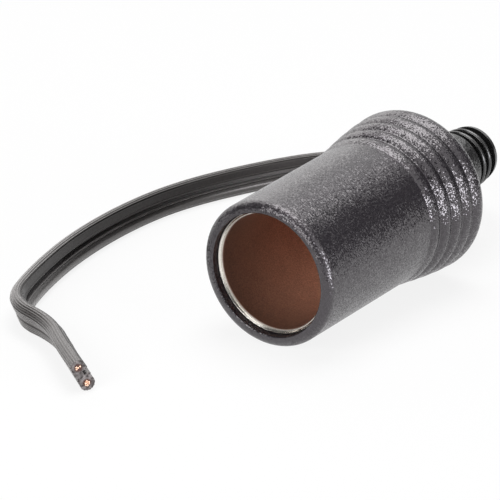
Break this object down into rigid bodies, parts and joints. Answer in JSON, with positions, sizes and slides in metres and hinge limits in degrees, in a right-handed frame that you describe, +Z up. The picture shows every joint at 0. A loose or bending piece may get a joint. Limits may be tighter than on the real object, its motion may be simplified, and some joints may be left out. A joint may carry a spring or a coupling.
{
  "type": "in-line 12 volt power socket",
  "caption": "Round in-line car power socket: deep metal contact tube in a textured barrel, flared ribbed rear collar, ringed strain relief and a short flat lead with a bare cut end.",
  "frame": {"origin": "on the floor, in the middle of the socket's own floor box, the free lead left out", "axes": "+Y along the socket from its mouth to its rear, +Z up from the floor"},
  "size_m": [0.0721, 0.1226, 0.0313],
  "materials": {
    "textured_plastic": "finely textured black moulding, satin",
    "flexible_pvc": "soft black moulding, satin",
    "contact_steel": "dull brown copper flash, bright at the bevelled lip",
    "phenolic_board": "brown laminate",
    "fibre_washer": "red vulcanised fibre",
    "rivet_brass": "bright",
    "tinned_brass": "tinned",
    "lead_pvc": "black extruded insulation with fine ribs",
    "copper_strands": "bare copper strands",
    "solder": "tin solder"
  },
  "bodies": {
    "root": {"barrel": "textured_plastic", "end_cap": "textured_plastic", "strain_relief": "flexible_pvc", "contact_sleeve": "contact_steel", "base_insulator": "phenolic_board", "insulating_washer": "fibre_washer", "centre_contact": "rivet_brass", "positive_tag": "tinned_brass", "negative_tag": "tinned_brass", "split_leads": "lead_pvc", "positive_strands": "copper_strands", "negative_strands": "copper_strands", "positive_solder": "solder", "negative_solder": "solder", "cord": "lead_pvc", "positive_cut_end": "copper_strands", "negative_cut_end": "copper_strands"}
  },
  "joints": []
}
